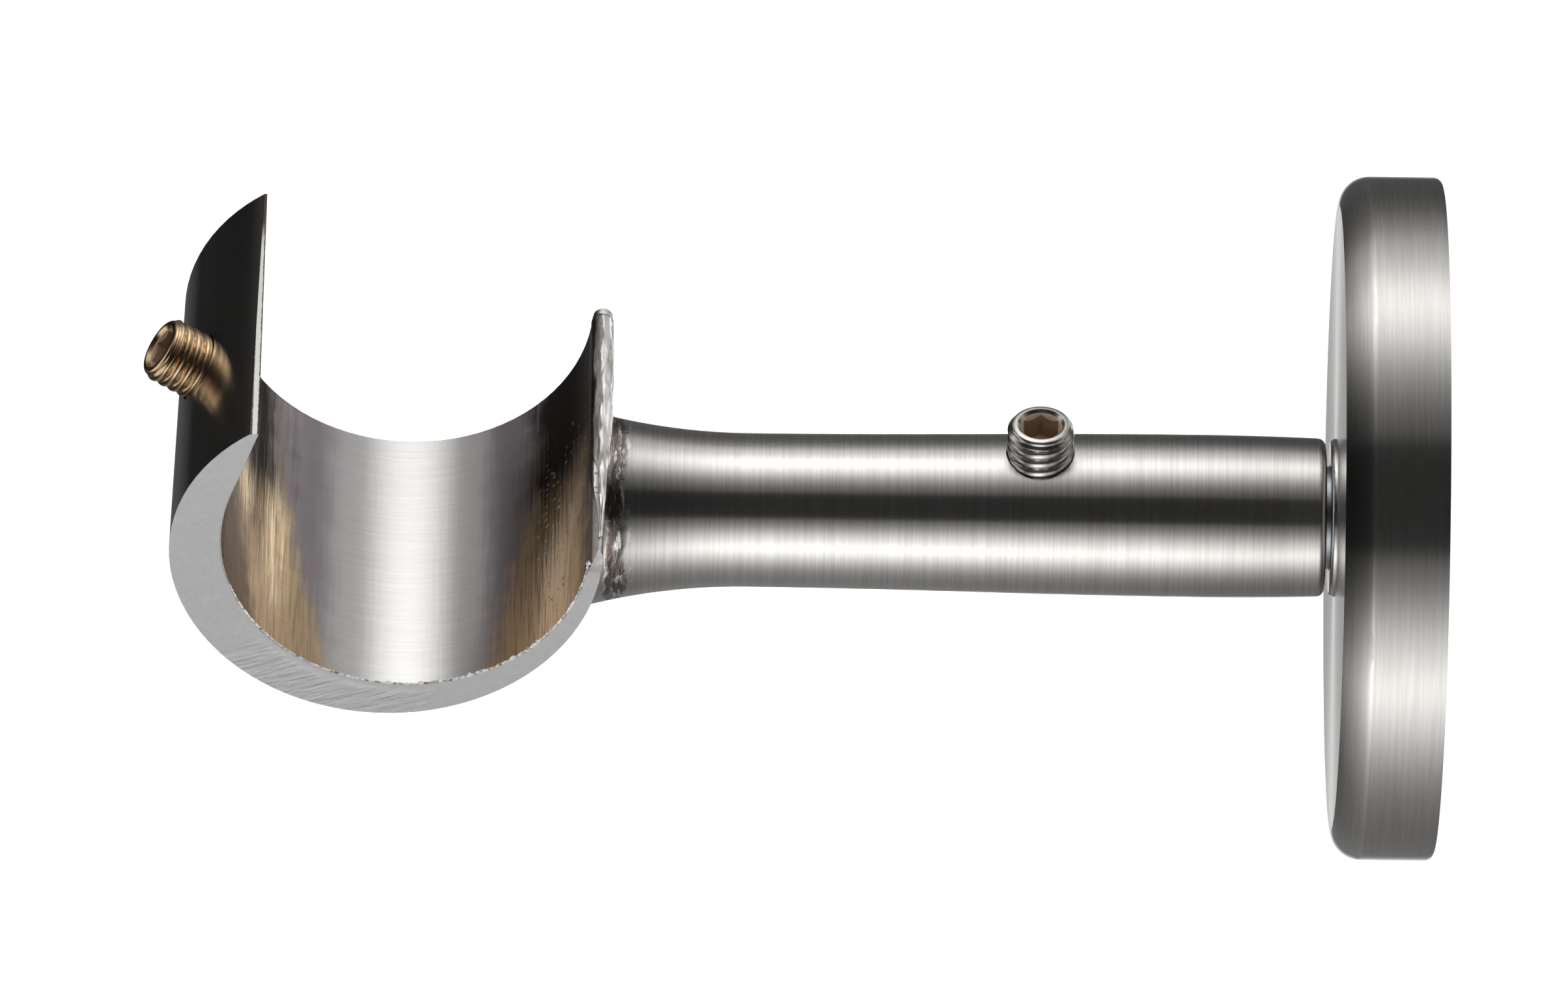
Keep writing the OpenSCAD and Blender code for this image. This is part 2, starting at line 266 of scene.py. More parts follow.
def blendColours(tree, share, first, second, how="MIX"):
    blend = addNode(tree, "Mix", {"Factor": share}, data_type="RGBA", blend_type=how)
    for socket, value in (("A_Color", first), ("B_Color", second)):
        entry = next(entry for entry in blend.inputs if entry.identifier == socket)
        if isinstance(value, bpy.types.NodeSocket):
            tree.links.new(value, entry)
        else:
            entry.default_value = value
    return next(out for out in blend.outputs if out.identifier == "Result_Color")


def blendVectors(tree, share, first, second):
    blend = addNode(tree, "Mix", {"Factor": share}, data_type="VECTOR")
    for socket, value in (("A_Vector", first), ("B_Vector", second)):
        entry = next(entry for entry in blend.inputs if entry.identifier == socket)
        if isinstance(value, bpy.types.NodeSocket):
            tree.links.new(value, entry)
        else:
            entry.default_value = value
    return next(out for out in blend.outputs if out.identifier == "Result_Vector")


def stretched(tree, place, scales):
    return addNode(tree, "VectorMath", {0: place, 1: scales}, operation="MULTIPLY").outputs[0]


def noiseAt(tree, place, scale, detail=2.0, depth=None):
    inputs = {"Vector": place, "Scale": scale, "Detail": detail}
    settings = {}
    if depth is not None:
        inputs["W"] = depth
        settings["noise_dimensions"] = "4D"
    return addNode(tree, "TexNoise", inputs, **settings).outputs[0]


def turnedLines(tree, place, radius, values):
    # the hairlines that a belt leaves on a piece while it turns about the arm's axis
    fine = 1 / values["lineSpacing"]
    coarse = 1 / values["lineLength"]
    along = stretched(tree, place, (fine, coarse, coarse))
    return noiseAt(tree, along, 1.0, 3.0, maths(tree, "MULTIPLY", radius, fine))


def roundNormal(tree, axis, fromAxis, shapeAlong=None, twist=0.08):
    # the exact normal of a surface that is round about an axis, so that its flat facets and seam don't show
    turns = {"vector_type": "NORMAL"}
    geometry = addNode(tree, "NewGeometry")
    normal = addNode(tree, "VectorTransform", {0: geometry.outputs["Normal"]}, convert_from="WORLD",
                     convert_to="OBJECT", **turns).outputs[0]
    radial = addNode(tree, "VectorMath", {0: fromAxis}, operation="NORMALIZE").outputs[0]
    sideways = addNode(tree, "VectorMath", {0: axis, 1: radial}, operation="CROSS_PRODUCT").outputs[0]
    around = addNode(tree, "VectorMath", {0: normal, 1: sideways}, operation="DOT_PRODUCT").outputs["Value"]
    along = addNode(tree, "VectorMath", {0: normal, 1: axis}, operation="DOT_PRODUCT").outputs["Value"]
    outward = addNode(tree, "VectorMath", {0: normal, 1: radial}, operation="DOT_PRODUCT").outputs["Value"]
    if shapeAlong:
        along = shapeAlong(along)
    rest = maths(tree, "SQRT", maths(tree, "MAXIMUM", maths(tree, "SUBTRACT", 1.0, maths(tree, "MULTIPLY", along, along))))
    rest = maths(tree, "MULTIPLY", rest, maths(tree, "SIGN", outward))
    alongPart = addNode(tree, "VectorMath", {0: axis, "Scale": along}, operation="SCALE").outputs[0]
    radialPart = addNode(tree, "VectorMath", {0: radial, "Scale": rest}, operation="SCALE").outputs[0]
    exact = addNode(tree, "VectorMath", {0: alongPart, 1: radialPart}, operation="ADD").outputs[0]
    isRound = maths(tree, "LESS_THAN", maths(tree, "ABSOLUTE", around), twist)
    kept = blendVectors(tree, isRound, normal, exact)
    return addNode(tree, "VectorTransform", {0: kept}, convert_from="OBJECT", convert_to="WORLD", **turns).outputs[0]


# Satin nickel plate on turned and belted zinc: hairlines run round the arm, so the light stretches along it.
# Real hairlines are about 0.05 mm apart. They are drawn coarser, so that they show.

nickel = {
    "lineDark": "#c6c3bf",
    "lineBright": "#d0cecb",
    "roughness": 0.24,
    "faceRoughness": 0.2,
    "faceEdge": (-6.3, -7.3),  # mm: from the rim to the rounded front
    "rounding": 27.4,          # mm from the axis, where the face gives way to the rounding
    "roundingPaintedShade": (0.28, 0.27),  # painted shade on the front rounding: how much darker it is at its start, and more towards the face
    "turnedEdge": (0.05, 0.15, 0.24, 0.14),  # the belt flattened the rounding to a low tilt with a crisp start
    "backEdge": (-1.2, -0.9),  # mm: the crisp edge at the wall
    "anisotropy": 0.75,
    "lineSpacing": 0.22,       # mm
    "lineLength": 9.0,         # mm
    "lineBump": 2.6e-6,        # m
}


def makeTurnedNickel(name, values):
    material, tree = newMaterial(name)
    place, x, y, z = partPlace(tree)
    radius = maths(tree, "SQRT", maths(tree, "ADD", maths(tree, "MULTIPLY", y, y), maths(tree, "MULTIPLY", z, z)))
    lines = turnedLines(tree, place, radius, values)
    colour = blendColours(tree, between(tree, lines, 0.3, 0.7), toLinear(values["lineDark"]),
                          toLinear(values["lineBright"]))
    fromArm = addNode(tree, "CombineXYZ", {"X": 0.0, "Y": y, "Z": z}).outputs[0]
    # only the two roundings, not the flat face and back, are reshaped
    atFront = between(tree, radius, values["rounding"] - 0.1, values["rounding"] + 0.05)
    atBack = maths(tree, "MULTIPLY", between(tree, x, *values["backEdge"]), between(tree, radius, 28.6, 29.0))
    low, high, step, slope = values["turnedEdge"]

    def shapeAlong(along):
        tilt = maths(tree, "ABSOLUTE", along)
        flatter = maths(tree, "ADD", between(tree, tilt, low, high, 0.0, step), maths(tree, "MULTIPLY", tilt, slope))
        flatter = maths(tree, "MULTIPLY", flatter, maths(tree, "SIGN", along))
        shaped = addNode(tree, "Mix", {0: atFront, 2: along, 3: flatter}).outputs[0]
        return maths(tree, "MULTIPLY", shaped, maths(tree, "SUBTRACT", 1.0, atBack))

    normal = roundNormal(tree, (1.0, 0.0, 0.0), fromArm, shapeAlong, 0.4)
    # painted shade: the rounding darkens towards the face
    start, more = values["roundingPaintedShade"]
    towardFace = addNode(tree, "MapRange", {"Value": x, "From Min": -6.4, "From Max": -9.0}).outputs[0]
    paintedShade = maths(tree, "ADD", between(tree, x, -6.3, -7.1, 0.0, start), maths(tree, "MULTIPLY", towardFace, more))
    paintedShade = maths(tree, "MULTIPLY", paintedShade, atFront)
    colour = blendColours(tree, paintedShade, colour, (0.0, 0.0, 0.0, 1.0))
    bump = addNode(tree, "Bump", {"Height": lines, "Strength": 1.0, "Distance": values["lineBump"], "Normal": normal})
    tangent = addNode(tree, "CombineXYZ", {"X": 1.0, "Y": 0.0, "Z": 0.0})
    metal = addNode(tree, "BsdfPrincipled", {
        "Base Color": colour,
        "Metallic": 1.0,
        "Roughness": between(tree, x, *values["faceEdge"], values["roughness"], values["faceRoughness"]),
        "Anisotropic": values["anisotropy"],
        "Tangent": tangent.outputs[0],
        "Normal": bump.outputs[0],
    })
    addNode(tree, "OutputMaterial", {"Surface": metal.outputs[0]})
    return material


# The cast cup and arm, in one plating: belted round the arm, bored across, with as-cast lip and ends.
# In the bore the colour carries painted highlight, painted warm reflection and painted shade.

castNickel = {
    "bore": (-90.3, 9.5, 16.0),   # mm: its middle along the arm, its height, its radius
    "halfWidth": 16.5,            # mm, the cup along the pole
    "shellEdge": (-74.2, -72.6),  # mm, where the arm's turned finish gives way to the cup's
    "tip": (-103.0, 21.6),        # mm: inner edge of the land along the outer wall's top, its height
    "plate": "#c9c6c2",
    "lineDark": "#c3c0bc",
    "lineBright": "#d1cfcc",
    "borePaintedHighlight": "#f4f2ef",
    "warm": "#ffe2ba",
    "warmPaintedShade": "#6e5a4a",
    "paintedBackShade": "#564e4a",
    "violetPaintedShade": "#c9c1c4",
    "paintedGlint": "#ffe9c4",
    "collar": "#857b75",
    "fleck": "#eeeae6",
    "shadow": "#4a413c",
    "endFace": "#c6c5c5",
    "lip": "#dedbd7",
    "roughness": 0.24,
    "outerRoughness": 0.15,
    "boreRoughness": 0.3,
    "sideRoughness": 0.5,
    "warmRoughness": 0.3,
    "endRoughness": 0.45,
    "lipRoughness": 0.34,
    "anisotropy": 0.75,
    "lineSpacing": 0.22,
    "lineLength": 9.0,
    "lineBump": 4.2e-6,
    "boreLineSpacing": 0.2,       # mm
    "boreLineLength": 4.5,        # mm
    "chatterSpacing": 0.34,       # mm
    "chatterLength": 8.0,         # mm
    "chatterBump": 4e-5,          # m
    "speckSpacing": 0.55,         # mm
    "speckBump": 9e-5,            # m
    "castBump": 9e-5,             # m
    "collarBump": 1.7e-4,         # m
    "rippleBump": 5e-5,           # m
}


def makeCastNickel(name, values):
    material, tree = newMaterial(name)
    place, x, y, z = partPlace(tree)
    boreX, boreZ, boreRadius = values["bore"]
    radius = maths(tree, "SQRT", maths(tree, "ADD", maths(tree, "MULTIPLY", y, y), maths(tree, "MULTIPLY", z, z)))
    fromBoreX = maths(tree, "SUBTRACT", x, boreX)
    fromBoreZ = maths(tree, "SUBTRACT", z, boreZ)
    boreDistance = maths(tree, "SQRT", maths(tree, "ADD", maths(tree, "MULTIPLY", fromBoreX, fromBoreX),
                                             maths(tree, "MULTIPLY", fromBoreZ, fromBoreZ)))
    roundBore = maths(tree, "ARCTAN2", fromBoreX, maths(tree, "MULTIPLY", fromBoreZ, -1.0))
    degrees = maths(tree, "MULTIPLY", roundBore, 180 / math.pi)
    sideways = maths(tree, "ABSOLUTE", degrees)

    # zones: 1 inside, 0 outside
    onArm = between(tree, x, *values["shellEdge"])
    inBore = between(tree, boreDistance, boreRadius + 0.12, boreRadius + 0.04)
    outward = maths(tree, "ABSOLUTE", y)
    onEnd = between(tree, outward, values["halfWidth"] - 0.03, values["halfWidth"] - 0.01)
    onCup = maths(tree, "SUBTRACT", 1.0, onArm)
    # the face that runs from the bore up to the lip is rough, and carries the bore's painted warm reflection too
    atLip = maths(tree, "MULTIPLY", between(tree, x, -76.4, -76.0), between(tree, x, -73.5, -73.8))
    atLip = maths(tree, "MULTIPLY", atLip, between(tree, boreDistance, boreRadius + 2.0, boreRadius + 1.8))
    inBore = maths(tree, "MAXIMUM", inBore, maths(tree, "MULTIPLY", atLip, maths(tree, "SUBTRACT", 1.0, onEnd)))
    onLip = maths(tree, "MULTIPLY", between(tree, x, -75.2, -74.6), between(tree, z, 6.2, 7.4))
    onLip = maths(tree, "MULTIPLY", onLip, between(tree, x, -72.4, -72.7))
    # painted shade where the lip's nose turns down into the bore
    onNose = maths(tree, "MULTIPLY", onLip, between(tree, x, -73.9, -74.2))

    # hairlines round the arm, and round the bore
    armLines = turnedLines(tree, place, radius, values)
    fine = 1 / values["boreLineSpacing"]
    coarse = 1 / values["boreLineLength"]
    boreLines = noiseAt(tree, stretched(tree, place, (coarse, fine, coarse)), 1.0, 3.0)
    armColour = blendColours(tree, between(tree, armLines, 0.3, 0.7), toLinear(values["lineDark"]),
                             toLinear(values["lineBright"]))

    # the bore: a painted highlight along its bottom, painted warm reflection and painted shade up its sides, with
    # ragged edges
    fine = 1 / values["chatterSpacing"]
    coarse = 1 / values["chatterLength"]
    chatter = noiseAt(tree, stretched(tree, place, (fine, coarse, fine)), 1.0, 3.0)
    cloud = noiseAt(tree, place, 0.35, 3.0)
    ragged = maths(tree, "MULTIPLY", maths(tree, "SUBTRACT", maths(tree, "ADD", chatter, cloud), 1.0), 14.0)
    wandering = maths(tree, "ADD", sideways, ragged)
    boreColour = blendColours(tree, between(tree, sideways, 12.0, 32.0), toLinear(values["borePaintedHighlight"]),
                              toLinear(values["violetPaintedShade"]))
    # the painted warm reflection comes closer to the bottom at the front
    wedge = maths(tree, "SUBTRACT", wandering, maths(tree, "MULTIPLY", y, 0.85))
    leftSide = between(tree, degrees, 5.0, -5.0)
    warmEnd = maths(tree, "MULTIPLY", maths(tree, "MULTIPLY", between(tree, wedge, 62.0, 74.0), leftSide), 0.85)
    warmEnd = maths(tree, "MAXIMUM", warmEnd, between(tree, wandering, 68.0, 82.0))
    warmStart = between(tree, wedge, 35.0, 45.0)
    # painted warm reflection up the sides, and painted warm shade at the band's upper end
    boreColour = blendColours(tree, warmStart, boreColour, toLinear(values["warm"]))
    boreColour = blendColours(tree, warmEnd, boreColour, toLinear(values["warmPaintedShade"]))
    # dark and light streaks along the pole in the warm bands
    fineChatter = noiseAt(tree, stretched(tree, place, (4.5, 0.14, 4.5)), 1.0, 2.0)
    streak = between(tree, maths(tree, "ADD", chatter, fineChatter), 0.66, 1.16, 0.72, 1.06)
    streak = addNode(tree, "Mix", {0: warmStart, 2: 1.0, 3: streak}).outputs[0]
    boreColour = blendColours(tree, 1.0, boreColour, addNode(tree, "CombineXYZ",
                              {"X": streak, "Y": streak, "Z": streak}).outputs[0], "MULTIPLY")
    # painted shade: the sides darken towards the back
    backwards = maths(tree, "ADD", y, maths(tree, "MULTIPLY", maths(tree, "SUBTRACT", chatter, 0.5), 9.0))
    paintedBackShade = maths(tree, "MULTIPLY", between(tree, backwards, -1.0, 6.0), between(tree, wandering, 34.0, 52.0))
    boreColour = blendColours(tree, paintedBackShade, boreColour, toLinear(values["paintedBackShade"]))
    boreTone = between(tree, boreLines, 0.25, 0.75, 0.93, 1.03)
    boreColour = blendColours(tree, 1.0, boreColour, addNode(tree, "CombineXYZ",
                              {"X": boreTone, "Y": boreTone, "Z": boreTone}).outputs[0], "MULTIPLY")

    # as cast: the ends and the lip
    grain = noiseAt(tree, place, 2.2, 4.0)
    endColour = blendColours(tree, 0.12, toLinear(values["endFace"]), addNode(tree, "CombineXYZ",
                             {"X": grain, "Y": grain, "Z": grain}).outputs[0], "OVERLAY")

    # small lumps high on the side by the arm, each with a painted warm glint
    cells = addNode(tree, "TexVoronoi", {"Vector": place, "Scale": 1 / values["speckSpacing"]})
    chosen = addNode(tree, "SeparateXYZ", {0: cells.outputs["Color"]}).outputs[0]
    specks = maths(tree, "MULTIPLY", between(tree, cells.outputs["Distance"], 0.36, 0.14),
                   between(tree, chosen, 0.6, 0.66))
    speckArea = maths(tree, "MULTIPLY", between(tree, degrees, 40.0, 58.0), between(tree, backwards, 12.0, 4.0))
    speckArea = maths(tree, "MULTIPLY", speckArea, between(tree, backwards, -14.0, -6.0, 0.3, 1.0))
    specks = maths(tree, "MULTIPLY", specks, maths(tree, "MULTIPLY", speckArea, inBore))
    boreColour = blendColours(tree, specks, boreColour, toLinear(values["paintedGlint"]))

    colour = blendColours(tree, onArm, toLinear(values["plate"]), armColour)
    # the rough collar where the flare was cast on to the cup, with bright flecks along its far edge
    scars = noiseAt(tree, stretched(tree, place, (1.9, 0.55, 0.55)), 1.0, 4.0)
    wavy = maths(tree, "ADD", x, maths(tree, "MULTIPLY", maths(tree, "SUBTRACT", cloud, 0.5), 1.6))
    onCollar = maths(tree, "MULTIPLY", between(tree, wavy, -73.1, -72.7), between(tree, wavy, -71.1, -71.7))
    flecks = maths(tree, "MULTIPLY", between(tree, scars, 0.54, 0.6), between(tree, wavy, -72.6, -72.0))
    flecks = maths(tree, "MULTIPLY", flecks, between(tree, wavy, -70.4, -70.9))
    colour = blendColours(tree, onCollar, colour, toLinear(values["collar"]))
    colour = blendColours(tree, flecks, colour, toLinear(values["fleck"]))
    colour = blendColours(tree, inBore, colour, boreColour)
    colour = blendColours(tree, onLip, colour, toLinear(values["lip"]))
    colour = blendColours(tree, onNose, colour, toLinear(values["shadow"]))
    # the land on the outer wall's top: painted shade on its edges and at its back end, leaving a bright ribbon between
    tipX, tipZ = values["tip"]
    across = maths(tree, "SUBTRACT", tipX, maths(tree, "ADD", x, maths(tree, "MULTIPLY", maths(tree, "SUBTRACT", grain, 0.5), 0.16)))
    onTip = between(tree, z, tipZ - 0.06, tipZ - 0.02)
    ribbon = maths(tree, "MULTIPLY", between(tree, across, 0.07, 0.15), between(tree, across, 0.6, 0.48))
    ribbon = maths(tree, "MULTIPLY", ribbon, between(tree, y, 13.0, 9.0))
    darker = maths(tree, "MULTIPLY", onTip, maths(tree, "SUBTRACT", 1.0, ribbon))
    colour = blendColours(tree, darker, colour, toLinear(values["shadow"]))
    colour = blendColours(tree, maths(tree, "MULTIPLY", onEnd, onCup), colour, endColour)

    boreRough = between(tree, wandering, 20.0, 34.0, values["boreRoughness"], values["sideRoughness"])
    boreRough = addNode(tree, "Mix", {0: between(tree, wandering, 38.0, 50.0), 2: boreRough,
                                      3: values["warmRoughness"]}).outputs[0]
    outerWall = between(tree, x, -91.0, -94.0)
    roughness = between(tree, outerWall, 0.0, 1.0, values["roughness"], values["outerRoughness"])
    roughness = addNode(tree, "Mix", {0: inBore, 2: roughness, 3: boreRough}).outputs[0]
    roughness = addNode(tree, "Mix", {0: onLip, 2: roughness, 3: values["lipRoughness"]}).outputs[0]
    roughness = addNode(tree, "Mix", {0: onEnd, 2: roughness, 3: values["endRoughness"]}).outputs[0]

    tangent = blendVectors(tree, maths(tree, "MAXIMUM", onArm, onEnd), (0.0, 1.0, 0.0), (1.0, 0.0, 0.0))

    # bump: hairlines, chatter on the bore's sides, the casting's skin on the lip and ends
    rough = maths(tree, "MULTIPLY", inBore, between(tree, sideways, 34.0, 46.0, 0.12, 1.0))
    lumps = noiseAt(tree, place, 0.9, 4.0)
    streaks = noiseAt(tree, stretched(tree, place, (2.4, 0.8, 0.8)), 1.0, 4.0)
    lumps = maths(tree, "MULTIPLY", maths(tree, "ADD", lumps, streaks), 0.6)
    castSkin = maths(tree, "MAXIMUM", onLip, maths(tree, "MULTIPLY", onEnd, 0.2))
    height = maths(tree, "MULTIPLY", maths(tree, "MULTIPLY", chatter, rough), values["chatterBump"] / mm)
    height = maths(tree, "ADD", height, maths(tree, "MULTIPLY", specks, values["speckBump"] / mm))
    height = maths(tree, "ADD", height, maths(tree, "MULTIPLY", maths(tree, "MULTIPLY", scars, onCollar),
                                               values["collarBump"] / mm))
    height = maths(tree, "ADD", height, maths(tree, "MULTIPLY", maths(tree, "MULTIPLY", lumps, castSkin),
                                               values["castBump"] / mm))
    height = maths(tree, "ADD", height, maths(tree, "MULTIPLY", maths(tree, "MULTIPLY", armLines, onArm),
                                               values["lineBump"] / mm))
    # faint ripples that the cutter left low on the ends
    level = addNode(tree, "VectorRotate", {0: place, "Axis": (0.0, 1.0, 0.0), "Angle": math.radians(18)},
                    rotation_type="AXIS_ANGLE").outputs[0]
    ripples = noiseAt(tree, stretched(tree, level, (0.3, 1.0, 2.2)), 1.0, 2.0)
    rippleArea = maths(tree, "MULTIPLY", onEnd, between(tree, boreDistance, boreRadius + 0.3, boreRadius + 1.2))
    rippleArea = maths(tree, "MULTIPLY", rippleArea, between(tree, degrees, -62.0, -40.0))
    rippleArea = maths(tree, "MULTIPLY", rippleArea, between(tree, degrees, 14.0, -6.0))
    height = maths(tree, "ADD", height, maths(tree, "MULTIPLY", maths(tree, "MULTIPLY", ripples, rippleArea),
                                               values["rippleBump"] / mm))
    fromArm = addNode(tree, "CombineXYZ", {"X": 0.0, "Y": y, "Z": z}).outputs[0]
    fromBore = addNode(tree, "CombineXYZ", {"X": fromBoreX, "Y": 0.0, "Z": fromBoreZ}).outputs[0]
    normal = addNode(tree, "NewGeometry").outputs["Normal"]
    normal = blendVectors(tree, onArm, normal, roundNormal(tree, (1.0, 0.0, 0.0), fromArm))
    normal = blendVectors(tree, inBore, normal, roundNormal(tree, (0.0, 1.0, 0.0), fromBore))
    bump = addNode(tree, "Bump", {"Height": height, "Strength": 1.0, "Distance": mm, "Normal": normal})
    metal = addNode(tree, "BsdfPrincipled", {
        "Base Color": colour,
        "Metallic": 1.0,
        "Roughness": roughness,
        "Anisotropic": values["anisotropy"],
        "Tangent": tangent,
        "Normal": bump.outputs[0],
    })
    addNode(tree, "OutputMaterial", {"Surface": metal.outputs[0]})
    return material


# Bright nickel on the screws: rolled threads, shinier than the belted parts; the pole screw's plate is bronze-toned

brightNickel = {
    "arm": {"plate": "#d6d2cd", "paintedSocketShade": "#8f7660", "roughness": 0.24},
    "pole": {"plate": "#dabb94", "paintedSocketShade": "#7f6652", "roughness": 0.2},
    "speckScale": 1.6,
    "bump": 1.2e-5,
}


def makeBrightNickel(name, values, finish, socketEnd, direction):
    # the socket's inside is told from the outside by its distance from the screw's own axis
    material, tree = newMaterial(name)
    place, x, y, z = partPlace(tree)
    away = addNode(tree, "VectorMath", {0: place, 1: socketEnd}, operation="SUBTRACT").outputs[0]
    along = addNode(tree, "VectorMath", {0: away, 1: direction}, operation="DOT_PRODUCT").outputs["Value"]
    onAxis = addNode(tree, "VectorMath", {0: direction, "Scale": along}, operation="SCALE").outputs[0]
    radius = addNode(tree, "VectorMath", {0: away, 1: onAxis}, operation="DISTANCE").outputs["Value"]
    inSocket = maths(tree, "MULTIPLY", between(tree, radius, 1.95, 1.8), between(tree, along, -0.15, -0.4))
    specks = noiseAt(tree, place, values["speckScale"], 4.0)
    colour = blendColours(tree, inSocket, toLinear(finish["plate"]), toLinear(finish["paintedSocketShade"]))
    tone = between(tree, specks, 0.3, 0.7, 0.88, 1.05)
    colour = blendColours(tree, 1.0, colour, addNode(tree, "CombineXYZ", {"X": tone, "Y": tone, "Z": tone}).outputs[0],
                          "MULTIPLY")
    bump = addNode(tree, "Bump", {"Height": specks, "Strength": 1.0, "Distance": values["bump"]})
    # painted shade and warm interreflection in the socket: its walls are brown and only partly metallic
    metal = addNode(tree, "BsdfPrincipled", {
        "Base Color": colour,
        "Metallic": between(tree, inSocket, 0.0, 1.0, 1.0, 0.35),
        "Roughness": between(tree, inSocket, 0.0, 1.0, finish["roughness"], 0.5),
        "Normal": bump.outputs[0],
    })
    addNode(tree, "OutputMaterial", {"Surface": metal.outputs[0]})
    return material


# Bright zinc plate on the turned steel spigot and the pressed fixing plate: bluish, with dull patches

zincPlate = {
    "plate": "#d3dae2",
    "darker": "#c3cad1",
    "roughness": 0.28,
    "anisotropy": 0.5,
    "lineSpacing": 0.3,
    "lineLength": 6.0,
    "lineBump": 8e-6,
}


def makeZincPlate(name, values):
    material, tree = newMaterial(name)
    place, x, y, z = partPlace(tree)
    radius = maths(tree, "SQRT", maths(tree, "ADD", maths(tree, "MULTIPLY", y, y), maths(tree, "MULTIPLY", z, z)))
    lines = turnedLines(tree, place, radius, values)
    patches = noiseAt(tree, place, 0.12, 3.0)
    colour = blendColours(tree, between(tree, patches, 0.15, 0.85), toLinear(values["darker"]), toLinear(values["plate"]))
    fromArm = addNode(tree, "CombineXYZ", {"X": 0.0, "Y": y, "Z": z}).outputs[0]
    bump = addNode(tree, "Bump", {"Height": lines, "Strength": 1.0, "Distance": values["lineBump"],
                                  "Normal": roundNormal(tree, (1.0, 0.0, 0.0), fromArm)})
    tangent = addNode(tree, "CombineXYZ", {"X": 1.0, "Y": 0.0, "Z": 0.0})
    metal = addNode(tree, "BsdfPrincipled", {
        "Base Color": colour,
        "Metallic": 1.0,
        "Roughness": between(tree, patches, 0.2, 0.8, values["roughness"] + 0.1, values["roughness"]),
        "Anisotropic": values["anisotropy"],
        "Tangent": tangent.outputs[0],
        "Normal": bump.outputs[0],
    })
    addNode(tree, "OutputMaterial", {"Surface": metal.outputs[0]})
    return material


finishes = {
    "cup_arm": makeCastNickel("satin nickel on cast zinc", castNickel),
    "wall_rose": makeTurnedNickel("satin nickel on the spun rose", nickel),
    "spigot": makeZincPlate("zinc plated steel spigot", zincPlate),
    "wall_plate": makeZincPlate("zinc plated steel plate", zincPlate),
}
for name, material in finishes.items():
    nodes[name].data.materials.clear()
    nodes[name].data.materials.append(material)
print("nickel and zinc done")


# Grub screws: M6 socket set screws with rolled threads, in millimetres along their own axis

grubScrew = {
    "crest": 2.93,             # radius over the thread
    "root": 2.62,
    "pitch": 1.0,
    "crestFlat": 0.64,         # share of the pitch, a worn broad crest
    "crestRound": 0.1,         # how far the crest falls off to its edges
    "rootFlat": 0.06,
    "rowsPerPitch": 20,
    "around": 96,
    "ringRadius": 2.28,        # flat ring round the socket
    "ringEdge": 2.66,          # radius where the ring's rounded edge ends
    "shoulder": 0.36,          # height of that rounded edge
    "socketRim": 2.08,
    "socketFlats": 3.0,        # width across the hexagon's flats
    "socketDepth": 2.6,
    "drillDepth": 0.3,
    "pointRadius": 1.75,       # rim of the cup point
    "pointChamfer": 0.6,
    "pointHollow": 0.3,
}


def threadRadius(values, turn, height):
    # radius of the rolled thread at a place round and along the screw
    phase = (height / values["pitch"] - turn) % 1
    away = abs(phase - 0.5) * 2          # 0 on the crest's middle, 1 in the root's
    slope = (away - values["crestFlat"]) / (1 - values["crestFlat"] - values["rootFlat"])
    slope = min(max(slope, 0), 1)
    crest = values["crest"] - values["crestRound"] * min(away / values["crestFlat"], 1) ** 2
    return crest + (values["root"] - crest) * slope


def makeGrubScrew(name, values, length, place, direction, hexTurn, body, material):
    around = values["around"]
    bm = bmesh.new()

    def ring(radii, heights):
        verts = []
        for k in range(around):
            angle = 2 * math.pi * k / around
            verts.append(bm.verts.new((radii[k] * math.cos(angle), radii[k] * math.sin(angle), heights[k])))
        return verts

    def plainRing(radius, height):
        return ring([radius] * around, [height] * around)

    rings = [plainRing(values["pointRadius"], 0)]
    rows = round(length / values["pitch"] * values["rowsPerPitch"])
    for row in range(rows + 1):
        height = length * row / rows
        pointLimit = values["crest"] - values["pointChamfer"] + height
        up = (height - length + values["shoulder"]) / values["shoulder"]
        shoulder = values["ringEdge"] - values["ringRadius"]
        below = length - values["shoulder"] - height
        ringLimit = values["ringRadius"] + shoulder * math.sqrt(max(1 - up * up, 0)) if up > 0 else values["ringEdge"] + below
        limit = min(pointLimit, ringLimit)
        rings.append(ring([min(threadRadius(values, k / around, height), limit) for k in range(around)],
                          [height] * around))
    rings.append(plainRing(values["socketRim"], length))
    hexRadii = []
    for k in range(around):
        angle = (360 * k / around - hexTurn) % 60 - 30
        hexRadii.append(values["socketFlats"] / 2 / math.cos(math.radians(angle)))
    rings.append(ring(hexRadii, [length - (values["socketRim"] - radius) for radius in hexRadii]))
    rings.append(ring(hexRadii, [length - values["socketDepth"]] * around))
    for low, high in zip(rings, rings[1:]):
        for k in range(around):
            n = (k + 1) % around
            bm.faces.new((low[k], low[n], high[n], high[k]))
    socketEnd = bm.verts.new((0, 0, length - values["socketDepth"] - values["drillDepth"]))
    pointEnd = bm.verts.new((0, 0, values["pointHollow"]))
    for k in range(around):
        n = (k + 1) % around
        bm.faces.new((rings[-1][k], rings[-1][n], socketEnd))
        bm.faces.new((rings[0][n], rings[0][k], pointEnd))
    bmesh.ops.recalc_face_normals(bm, faces=bm.faces)
    for face in bm.faces:
        face.smooth = True
    turned = Vector((0, 0, 1)).rotation_difference(Vector(direction)).to_matrix().to_4x4()
    bm.transform(Matrix.Translation(Vector(place) * mm) @ turned @ Matrix.Scale(mm, 4))
    mesh = bpy.data.meshes.new(name)
    bm.to_mesh(mesh)
    bm.free()
    mesh.set_sharp_from_angle(angle=math.radians(40))
    screw = addObject(name, mesh, material)
    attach(screw, body)
    return screw


# The cast lip's rough rim: (along the pole, middle across, half width), mm, from the back to the front

